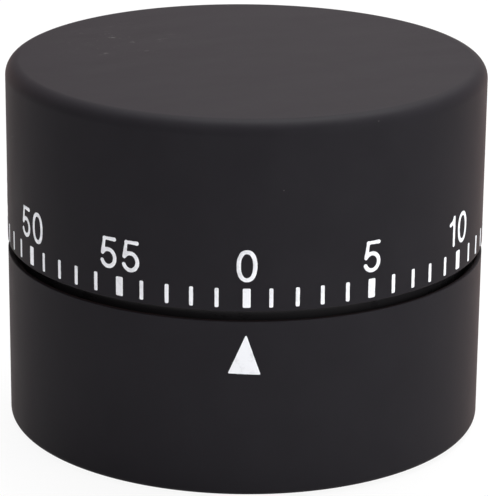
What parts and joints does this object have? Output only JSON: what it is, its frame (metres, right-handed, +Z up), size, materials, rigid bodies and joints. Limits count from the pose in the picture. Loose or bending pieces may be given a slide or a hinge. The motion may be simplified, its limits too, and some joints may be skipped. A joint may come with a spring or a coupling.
{
  "type": "mechanical timer",
  "caption": "Round black wind-up minute timer: a dial cup with a printed minute scale turns over a base cup with a pointer and drives a spring movement with a bell.",
  "frame": {"origin": "centre of the foot ring's underside, on the surface that the timer stands on", "axes": "+Z up along the dial's axis, -Y towards the pointer on the front of the base, +X to the right seen from the front"},
  "size_m": [0.0652, 0.0652, 0.0506],
  "materials": {
    "soft_black": "soft-touch matte black moulding",
    "gloss_black": "polished black moulding",
    "foot_rubber": "matte black rubber",
    "white_ink": "pad-printed white ink",
    "screw_steel": "dark zinc-plated steel",
    "spring_steel": "blued spring steel",
    "plate_steel": "stamped zinc-plated steel",
    "arbor_steel": "turned bright steel",
    "wheel_brass": "stamped brass",
    "bell_metal": "nickel-plated steel"
  },
  "bodies": {
    "base": {"base_cup": "soft_black", "foot_ring": "foot_rubber", "case_screws": "screw_steel", "pointer_mark": "white_ink", "carrier": "gloss_black", "stop_post": "plate_steel", "thrust_washer": "wheel_brass", "movement_screws": "screw_steel", "upper_plate": "plate_steel", "lower_plate": "plate_steel", "pillars": "plate_steel", "plate_screws": "screw_steel", "upper_bush": "wheel_brass", "lower_bush": "wheel_brass", "spring_drum": "plate_steel", "drum_rivets": "screw_steel", "mainspring": "spring_steel", "bell": "bell_metal", "bell_screw": "screw_steel", "lever_post": "plate_steel"},
    "dial": {"dial_cup": "soft_black", "scale_marks": "white_ink", "main_arbor": "arbor_steel", "stop_arm": "plate_steel", "great_wheel": "wheel_brass", "clutch_spring": "spring_steel", "clutch_collar": "plate_steel", "snail_cam": "wheel_brass"},
    "second": {"second_arbor": "arbor_steel", "second_wheel": "wheel_brass"},
    "third": {"third_arbor": "arbor_steel", "third_wheel": "wheel_brass"},
    "escape": {"escape_arbor": "arbor_steel", "escape_wheel": "wheel_brass"},
    "balance": {"balance_staff": "arbor_steel", "pallet_yoke": "plate_steel", "balance_wheel": "wheel_brass"},
    "alarm": {"alarm_arbor": "arbor_steel", "alarm_wheel": "wheel_brass"},
    "striker": {"striker_arbor": "arbor_steel", "striker_wheel": "wheel_brass"},
    "hammer": {"hammer_arbor": "arbor_steel", "hammer_yoke": "plate_steel", "hammer_arm": "plate_steel", "hammer_head": "wheel_brass"},
    "lever": {"release_lever": "plate_steel"}
  },
  "joints": [
    {"name": "dial_turn", "type": "hinge", "parent": "base", "child": "dial", "pos_m": [0, 0, 0.0214], "axis": [0, 0, -1], "range_deg": [0, 348]},
    {"name": "second_spin", "type": "hinge", "parent": "base", "child": "second", "pos_m": [0.0162, 0, 0.0214], "axis": [0, 0, -1], "range_deg": [-2784, 0]},
    {"name": "third_spin", "type": "hinge", "parent": "base", "child": "third", "pos_m": [0.01489, 0.01012, 0.0214], "axis": [0, 0, -1], "range_deg": [0, 20880]},
    {"name": "escape_spin", "type": "hinge", "parent": "base", "child": "escape", "pos_m": [0.01011, 0.0155, 0.0214], "axis": [0, 0, -1], "range_deg": [-104400, 0]},
    {"name": "alarm_spin", "type": "hinge", "parent": "base", "child": "alarm", "pos_m": [-0.0162, 0, 0.0214], "axis": [0, 0, -1], "range_deg": [-2784, 0]},
    {"name": "striker_spin", "type": "hinge", "parent": "base", "child": "striker", "pos_m": [-0.01649, -0.0084, 0.0214], "axis": [0, 0, -1], "range_deg": [0, 16704]},
    {"name": "lever_lift", "type": "hinge", "parent": "base", "child": "lever", "pos_m": [-0.00195, -0.01386, 0.0161], "axis": [0, 0, 1], "range_deg": [0, 12]},
    {"name": "balance_swing", "type": "hinge", "parent": "base", "child": "balance", "pos_m": [0.00312, 0.01823, 0.0214], "axis": [0, 0, -1], "range_deg": [-10, 10]},
    {"name": "hammer_swing", "type": "hinge", "parent": "base", "child": "hammer", "pos_m": [-0.0126, -0.01422, 0.0214], "axis": [0, 0, -1], "range_deg": [-4, 4]}
  ],
  "couplings": [
    {"joint": "second_spin", "follows": "dial_turn", "ratio": -8},
    {"joint": "third_spin", "follows": "dial_turn", "ratio": 60},
    {"joint": "escape_spin", "follows": "dial_turn", "ratio": -300},
    {"joint": "alarm_spin", "follows": "dial_turn", "ratio": -8},
    {"joint": "striker_spin", "follows": "dial_turn", "ratio": 48},
    {"joint": "lever_lift", "follows": "dial_turn", "ratio": 0.034483}
  ]
}
